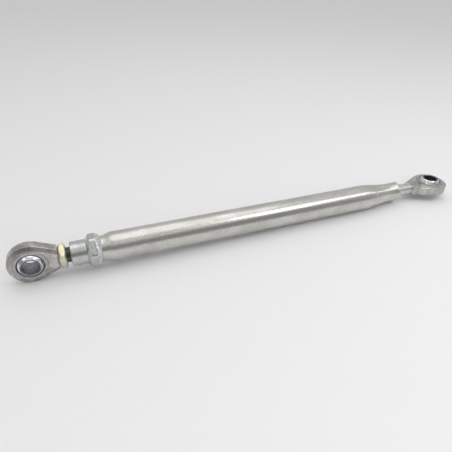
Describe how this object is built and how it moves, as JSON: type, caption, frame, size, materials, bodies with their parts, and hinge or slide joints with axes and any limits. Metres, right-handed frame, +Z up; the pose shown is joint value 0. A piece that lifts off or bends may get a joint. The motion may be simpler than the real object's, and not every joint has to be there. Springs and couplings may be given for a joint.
{
  "type": "stabilizer link",
  "caption": "Length-adjustable steel tube link with a lined ball-joint eye at each end, one screwed in and locked by a jam nut, the other squeezed into the tube, their bores at right angles.",
  "frame": {"origin": "centre of the left ball, the one in the screwed-in eye", "axes": "+X along the link to the right ball, left bore along Y, right bore along Z, +Z up"},
  "size_m": [0.6684, 0.0524, 0.0524],
  "materials": {
    "forged_steel": "satin, lightly blasted",
    "race_steel": "turned",
    "liner": "matt woven liner",
    "ball_chrome": "polished",
    "yellow_zinc": "yellow zinc plate",
    "machined_zinc": "turned, clear zinc plate",
    "weld_metal": "rippled weld, zinc plate",
    "tube_zinc": "drawn, clear zinc plate"
  },
  "bodies": {
    "link_tube": {"tube": "tube_zinc", "weld_bead": "weld_metal", "threaded_adapter": "machined_zinc", "right_rod_end_body": "forged_steel", "right_race": "race_steel"},
    "lock_nut": {"jam_nut": "yellow_zinc"},
    "left_eye": {"left_rod_end_body": "forged_steel", "left_race": "race_steel"},
    "left_lining": {"left_liner": "liner"},
    "left_swivel_ball": {"left_ball": "ball_chrome"},
    "right_lining": {"right_liner": "liner"},
    "right_swivel_ball": {"right_ball": "ball_chrome"}
  },
  "joints": [
    {"name": "adjust_travel", "type": "slide", "parent": "link_tube", "child": "lock_nut", "axis": [1, 0, 0], "range_m": [-0.0105, 0.0045]},
    {"name": "adjust_turn", "type": "hinge", "parent": "lock_nut", "child": "left_eye", "pos_m": [0, 0, 0], "axis": [1, 0, 0], "range_deg": [-2520, 1080]},
    {"name": "left_swivel", "type": "hinge", "parent": "left_eye", "child": "left_lining", "pos_m": [0, 0, 0], "axis": [0, 1, 0], "continuous": true},
    {"name": "left_tilt", "type": "hinge", "parent": "left_lining", "child": "left_swivel_ball", "pos_m": [0, 0, 0], "axis": [0, 0, 1], "range_deg": [-14, 14]},
    {"name": "right_swivel", "type": "hinge", "parent": "link_tube", "child": "right_lining", "pos_m": [0.616, 0, 0], "axis": [0, 0, 1], "continuous": true},
    {"name": "right_tilt", "type": "hinge", "parent": "right_lining", "child": "right_swivel_ball", "pos_m": [0.616, 0, 0], "axis": [0, 1, 0], "range_deg": [-14, 14]}
  ],
  "couplings": [
    {"joint": "adjust_travel", "follows": "adjust_turn", "m_per_rad": 0.00023873}
  ]
}
